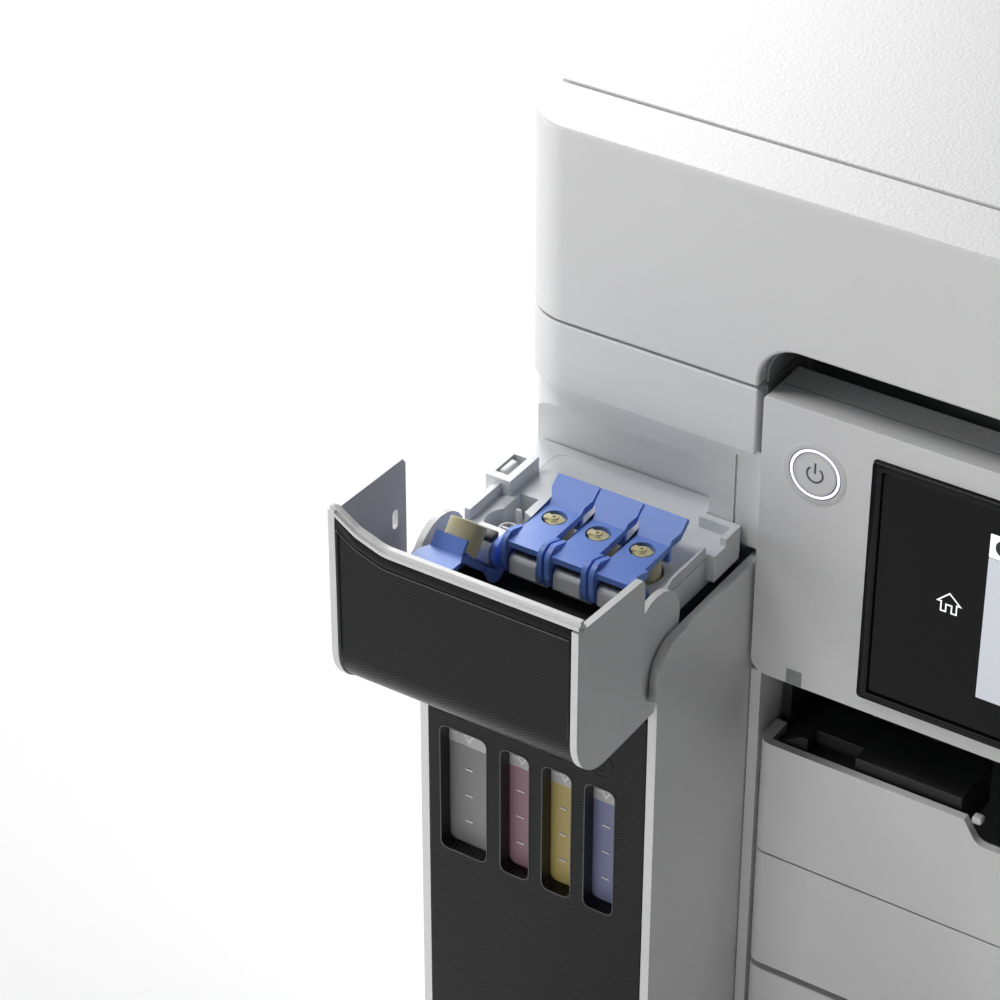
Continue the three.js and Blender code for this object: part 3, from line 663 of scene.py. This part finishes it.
def add_gauges():
    body = "chassis"
    tank_face = near("ink_tank_black")[0].y
    panel_face = near("tank_front_panel")[0].y
    plate = tank_face - 0.25
    low, high = WINDOW_Z
    for ink, tank in TANKS.items():
        a, b = tank["window"]
        prism(f"gauge_clear_{ink}", rectangle(a - 0.6, b + 0.6, INK_TOP, high + 0.6), "y", plate,
              tank_face - 0.03, CLEAR_TANK, body, 0.05)
        x, z = tank["arrow"], FULL_MARK_Z
        arrow = [(x - 1.7, z + 1.3), (x + 1.7, z + 1.3), (x, z - 1.5)]
        stroke(f"gauge_full_{ink}", [looped(arrow)], 0.75, "y", plate - 0.12, plate, MARK, body)
        dash = [(a + 0.9, z + 0.2), (a + 3.0, z + 0.2)]
        bracket = [(b - 1.6, z + 2.4), (b - 0.8, z + 2.4), (b - 0.8, z - 1.6), (b - 1.6, z - 1.6)]
        stroke(f"gauge_lines_{ink}", [dash, bracket], 0.45, "y", plate - 0.1, plate, MARK, body)
        x = tank["marks"]
        for i, level in enumerate(DASH_LEVELS):
            dash = rounded(x - 1.5, x + 1.5, level - 0.35, level + 0.35, 0.25, 2)
            prism(f"gauge_dash_{ink}_{i}", dash, "y", tank_face - 0.3, tank_face - 0.02, MARK, body, 0.1)
        # Each window's rim is drawn in the lighter gloss: a painted highlight round the window.
        rim = rounded(a - 0.45, b + 0.45, low - 0.45, high + 0.45, 2.85)
        prism(f"window_rim_{ink}", rim, "y", panel_face - 0.2, panel_face - 0.01, RIM_HIGHLIGHT, body, 0.07,
              holes=[rounded(a, b, low, high, 2.4)])
        x, z = tank["icon"]
        circle = looped(arc(x, z, 4.5, 0, 360, 48)[:-1])
        drop = looped([(x, z + 2.6)] + arc(x, z - 0.7, 1.5, 30, -210, 16))
        stroke(f"ink_emblem_{ink}", [circle, drop], 0.3, "y", panel_face - 0.09, panel_face - 0.01, PIANO,
               body)


# ---- Tank cover --------------------------------------------------------------------------------
LIP_HEIGHT = 255.8
LIP_RISE = 8  # how much higher the lip is at its left end
STRIP_FOOT = 216
NUB_PLACE = (-125.4, -98.8)
LINING_X = (-204.6, -130.4)
LINING_TOP = 252
LINING_BEND = (-86.6, 215)
LINING_RADIUS = 13.0
LINING_THICKNESS = 0.6


def lip_edge(x0, x1, height):
    """The lip's edge seen from the front, from right to left."""
    line = corners([(x1, height), (-191.5, height, 14), (-201, height + 3.2, 8),
                    (-208.4, height + LIP_RISE), (x0, height + LIP_RISE), (x0, 0), (x1, 0)], 6)
    return line[:-2]


def add_cover_details():
    body = "tank_cover"
    low, high = near("tank_cover_panel")
    front = low.y
    top = lip_edge(low.x + 0.1, high.x - 0.1, LIP_HEIGHT)
    under = lip_edge(low.x + 0.1, high.x - 0.1, LIP_HEIGHT - 3.4)
    prism("cover_trim", top + under[::-1], "y", front - 0.38, front - 0.02, PIANO, body, 0.12)
    # A thin line of the lighter gloss under the trim: a painted highlight along the bezel's edge.
    line = lip_edge(low.x + 0.6, high.x - 0.6, LIP_HEIGHT - 4.2)
    stroke("cover_highlight_line", [line], 0.5, "y", front - 0.4, front - 0.01, RIM_HIGHLIGHT, body)
    for side, x, rise in (("left", low.x + 0.5, LIP_RISE), ("right", high.x - 0.5, 0)):
        strip = rectangle(x - 0.4, x + 0.4, STRIP_FOOT, LIP_HEIGHT - 4.4 + rise)
        prism(f"cover_edge_{side}", strip, "y", front - 0.3, front - 0.01, PIANO, body, 0.12)
    disc("cover_nub", *NUB_PLACE, 1.1, "z", 254.6, 256.4, WHITE, body, 20, 0.4)
    y, z = LINING_BEND
    thin = LINING_RADIUS - LINING_THICKNESS
    outer_bend = arc(y, z, LINING_RADIUS, -90, -180, 10)[1:]
    inner_bend = arc(y, z, thin, -180, -90, 10)
    outer = [(-60.6, 202.0), (y, 202.0)] + outer_bend + [(-99.6, LINING_TOP)]
    inner = [(-99.0, LINING_TOP)] + inner_bend + [(-60.6, 202.6)]
    prism("cover_lining", outer + inner, "x", *LINING_X, BLACK, body, 0.1)


# ---- Tank deck ---------------------------------------------------------------------------------
PORT_Y = -34.5
PORT_RIM = [(2.5, 226.02), (3.2, 226.02), (3.25, 226.5), (3.0, 226.9), (2.5, 226.9)]
# Outline of a black plate under the deck's front edge: painted shade between the tank blocks.
SHADOW_PLATE_OUTLINE = [(-55.2, 218.45), (-55.2, 218.95), (-43.2, 218.95), (-43.2, 218.45), (-51.45, 218.45),
                 (-51.45, 211.7), (-52.1, 211.7), (-52.1, 218.45)]
LATCH_SHADE = (-206.2, -201.8, -19.2, -8.5)
LATCH_TONGUE = [(-19.0, 230.25), (-8.7, 230.25), (-8.7, 231.2), (-10.4, 233.9), (-17.2, 233.9),
                (-19.0, 231.2)]
RIM_OUTLINE = [(-45.5, 229.02), (-18, 229.02), (-18, 233.2), (-38, 233.2), (-45.5, 229.7)]
DECK_TABS = ((-194.0, -43.5, 229.02, 230.4), (-189.0, -43.6, 229.02, 230.4), (-193.0, -26.5, 221.2, 228.7))


def add_deck_details():
    body = "chassis"
    prism("deck_shadow_plate", SHADOW_PLATE_OUTLINE, "x", -204, -131, BLACK, body, 0.08)
    for ink, tank in TANKS.items():
        x = tank["x"]
        # A black pad on each hinge block fills the opening behind the cap's tab: painted shade there.
        shade_pad = rectangle(x - 4.5, x + 4.5, -50.9, -46.4)
        prism(f"hinge_shade_{ink}", shade_pad, "z", 232.2, 234.2, BLACK, body, 0.5)
        lathe(f"port_rim_{ink}", PORT_RIM, (x, PORT_Y, 0), "z", WHITE, body, 36)
        bar = rectangle(x - 2.6, x + 2.6, PORT_Y - 0.5, PORT_Y + 0.5)
        prism(f"port_bar_{ink}", bar, "z", 226.05, 226.7, WHITE, body, 0.15)
    for i, (x, y, foot, top) in enumerate(DECK_TABS):
        tab = rectangle(x - 0.9, x + 0.9, y - 0.6, y + 0.6)
        prism(f"deck_tab_{i}", tab, "z", foot, top, WHITE, body, 0.2)
    # A thin dark sheet over the latch slot: painted shade inside the slot.
    prism("latch_slot_shade", rounded(*LATCH_SHADE, 0.3, 2), "z", 230.02, 230.2, GRAPHITE, body, 0)
    prism("latch_tongue", LATCH_TONGUE, "x", -206.1, -203.9, WHITE, body, 0.3)
    prism("deck_rim_right", RIM_OUTLINE, "x", -131.7, -130.75, INNER, body, 0.25)
    line = corners([(-199.6, -4.2), (-199.6, 7.2, 4), (-144.2, 7.2), (-144.2, -300)], 6)[:-1]
    stroke("deck_line", [line], 0.35, "z", 229.0, 229.1, INNER, body)


# ---- Filling caps ------------------------------------------------------------------------------
CAP_PIN = (-48.6, 229)
OPEN_TURN = math.radians(138)  # the black cap stands open
# The key on a cap's plug, round the port's middle, as (across, along, corner radius).
PLUG_WINGS = [(-3.7, -0.3, 0.5), (-3.1, -1.7, 0.5), (-1.3, -1.1), (0, -1.9, 0.7), (1.3, -1.1),
              (3.1, -1.7, 0.5), (3.7, 0.3, 0.5), (3.1, 1.7, 0.5), (1.3, 1.1), (0, 1.9, 0.7), (-1.3, 1.1),
              (-3.1, 1.7, 0.5)]
PLUG_BOSS = [(0.5, 236.9), (1.2, 236.9), (1.3, 237.3), (0.9, 237.45), (0.5, 237.3)]


def add_cap_details():
    for ink, tank in TANKS.items():
        x = tank["x"]
        body = f"cap_{ink}"
        place = None
        if ink == "black":
            pin = at(x, *CAP_PIN)
            place = Matrix.Translation(pin) @ Matrix.Rotation(OPEN_TURN, 4, "X") @ Matrix.Translation(-pin)
        wings = corners([(x + a, PORT_Y + b, *radius) for a, b, *radius in PLUG_WINGS], 3)
        prism(f"plug_key_{ink}", wings, "z", 236.1, 236.95, BEIGE, body, 0.2, place)
        lathe(f"plug_boss_{ink}", PLUG_BOSS, (x, PORT_Y, 0), "z", BEIGE, body, 24, place)
        for side, sign in (("left", -1), ("right", 1)):
            a = x + sign * 5.1 - 0.45
            rib = rectangle(a, a + 0.9, -41.6, -30)
            prism(f"cap_rib_{ink}_{side}", rib, "z", 233.9, 235.05, BLUE, body, 0.2, place)


# ---- Paper path and scanner --------------------------------------------------------------------
PAD_X = (-174, 174)
PAD_Y = (50, 415)
GLASS_X = (-154, 154)  # the opening in the platen's frame
GLASS_Y = (92, 390)
RULE_X = -156.5
RULE_Y = range(100, 386, 10)
NUB_OUTLINE = (-44.4, -41.2, 150.0, 152.4)


def add_paper_details():
    prism("tray_nub", rounded(*NUB_OUTLINE, 0.6, 3), "y", 2.2, 5.0, WHITE, "output_tray", 0.3)
    prism("document_pad", rounded(*PAD_X, *PAD_Y, 3), "z", 283.2, 286.4, WHITE, "document_cover", 0.8)
    low, high = near("platen_glass")
    outline = rounded(low.x + 0.2, high.x - 0.2, low.y + 0.2, high.y - 0.2, 1)
    prism("platen_frame", outline, "z", high.z + 0.02, high.z + 0.25, INNER, "scanner_unit", 0.06,
          holes=[rounded(*GLASS_X, *GLASS_Y, 2)])
    ticks = []
    for i, y in enumerate(RULE_Y):
        length = 6 if i % 5 == 0 else 3
        ticks.append([(RULE_X - length, y), (RULE_X, y)])
    stroke("platen_rule", ticks, 0.5, "z", high.z + 0.26, high.z + 0.3, PRINT_GRAY, "scanner_unit")


# ---- Sides, back and inside --------------------------------------------------------------------
VENT_Y = (318, 392)
VENT_LOW = 176
VENT_PITCH = 7
VENTS = 8
INLET_PINS = ((-5, 1.5), (5, 1.5))
INLET_PIN_Y = (424.1, 436)
USB_SHELL = (166.3, 179.7, 170.3, 176.2)
USB_MOUTH = (166.9, 179.1, 170.9, 175.6)
USB_TONGUE = (167.6, 178.4, 173.6, 175.0)
BOARD_TOP = 121.62
CHIP_TOP = 123.6
# Each chip's left edge, front edge, width and depth.
CHIPS = ((-182, 80, 20, 20), (-154, 84, 12, 16), (-180, 120, 16, 10), (-158, 128, 18, 8),
         (-184, 160, 12, 26), (-160, 170, 22, 14), (-182, 212, 30, 10))
CANS = 5
CAN_X = -140
CAN_START = 76
CAN_PITCH = 34
CAN_RADIUS = 3.2
CAN_TOP = 131


def add_outer_details():
    body = "chassis"
    sides = (("left", near("left_cover")[0].x, -0.12), ("right", near("right_cover")[1].x, 0.12))
    for side, x, out in sides:
        # Dark strips on the side covers: painted shade inside the vent slots.
        for i in range(VENTS):
            z = VENT_LOW + i * VENT_PITCH
            strip = rounded(*VENT_Y, z, z + 2.2, 1.0, 3)
            prism(f"vent_shade_{side}_{i}", strip, "x", x + out, x - out / 6, GRAPHITE, body, 0.03)
    low, high = near("power_inlet")
    x, z = (low.x + high.x) / 2, (low.z + high.z) / 2
    for i, (a, b) in enumerate(INLET_PINS):
        pin = rounded(x + a - 1.0, x + a + 1.0, z + b - 2.3, z + b + 2.3, 0.5, 3)
        prism(f"inlet_pin_{i}", pin, "y", *INLET_PIN_Y, STEEL, body, 0.3)
    prism("inlet_slot_frame", rounded(x - 10.6, x + 10.6, z - 6.6, z + 6.6, 2.6), "y", high.y - 0.6,
          high.y + 0.2, BLACK, body, 0.15, holes=[rounded(x - 9.6, x + 9.6, z - 5.6, z + 5.6, 2.2)])
    prism("usb_shell", rounded(*USB_SHELL, 0.4, 3), "y", 0.9, 5.6, STEEL, body, 0.1,
          holes=[rounded(*USB_MOUTH, 0.3, 3)])
    prism("usb_tongue", rounded(*USB_TONGUE, 0.2, 2), "y", 1.6, 5.5, GRAPHITE, body, 0.1)
    for i, (a, b, width, depth) in enumerate(CHIPS):
        chip = rectangle(a, a + width, b, b + depth)
        prism(f"board_chip_{i}", chip, "z", BOARD_TOP, CHIP_TOP, GRAPHITE, body, 0.3)
    for i in range(CANS):
        y = CAN_START + i * CAN_PITCH
        disc(f"board_can_{i}", CAN_X, y, CAN_RADIUS, "z", BOARD_TOP, CAN_TOP, STEEL, body, 28, 0.5)


# ---- Stage -------------------------------------------------------------------------------------
FLOOR_REACH = 6
FLOOR_DROP = 0.2  # keeps the floor clear of the feet


def add_stage():
    floor = bmesh.new()
    bmesh.ops.create_grid(floor, x_segments=8, y_segments=8, size=FLOOR_REACH)
    data = bpy.data.meshes.new("floor")
    floor.to_mesh(data)
    floor.free()
    material, tree, shader = new_material("floor")
    shader.inputs["Roughness"].default_value = 0.6
    tinted(tree, shader, (0.84, 0.84, 0.84), 0.005, 3.0)
    data.materials.append(material)
    piece = bpy.data.objects.new("floor", data)
    piece.location.z = CAD_BOX[0].z - FLOOR_DROP * MM
    bpy.context.scene.collection.objects.link(piece)


def add_light(name, place, target, size, power):
    data = bpy.data.lights.new(name, "AREA")
    data.shape = "RECTANGLE"
    data.size, data.size_y = size
    data.energy = power
    lamp = bpy.data.objects.new(name, data)
    lamp.location = place
    lamp.rotation_euler = (Vector(target) - Vector(place)).to_track_quat("-Z", "Y").to_euler()
    bpy.context.scene.collection.objects.link(lamp)


def add_lights():
    """Places and sizes in metres, and powers in watts."""
    world = bpy.data.worlds.new("world")
    world.use_nodes = True
    background = world.node_tree.nodes["Background"]
    background.inputs["Color"].default_value = (1, 1, 1, 1)
    background.inputs["Strength"].default_value = 0.01
    bpy.context.scene.world = world
    add_light("back_left", (-1.7, 1.6, 1.5), (0, 0, 0.3), (1.4, 1.2), 58)
    add_light("front_low", (-0.3, -2.6, 0.35), (0, 0, 0.1), (1.8, 0.6), 15)
    add_light("side_left", (-2.0, -0.9, 0.6), (0, 0, 0.2), (1.2, 0.8), 17)
    add_light("top_left", (-0.8, -0.5, 1.5), (-0.1, -0.1, 0.35), (0.5, 0.5), 9)


add_camera()
finish_nodes()
add_screen()
add_panel_details()
add_notch_shade()
add_gauges()
add_cover_details()
add_deck_details()
add_cap_details()
add_paper_details()
add_outer_details()
add_stage()
add_lights()
bpy.context.scene.view_settings.view_transform = "Standard"
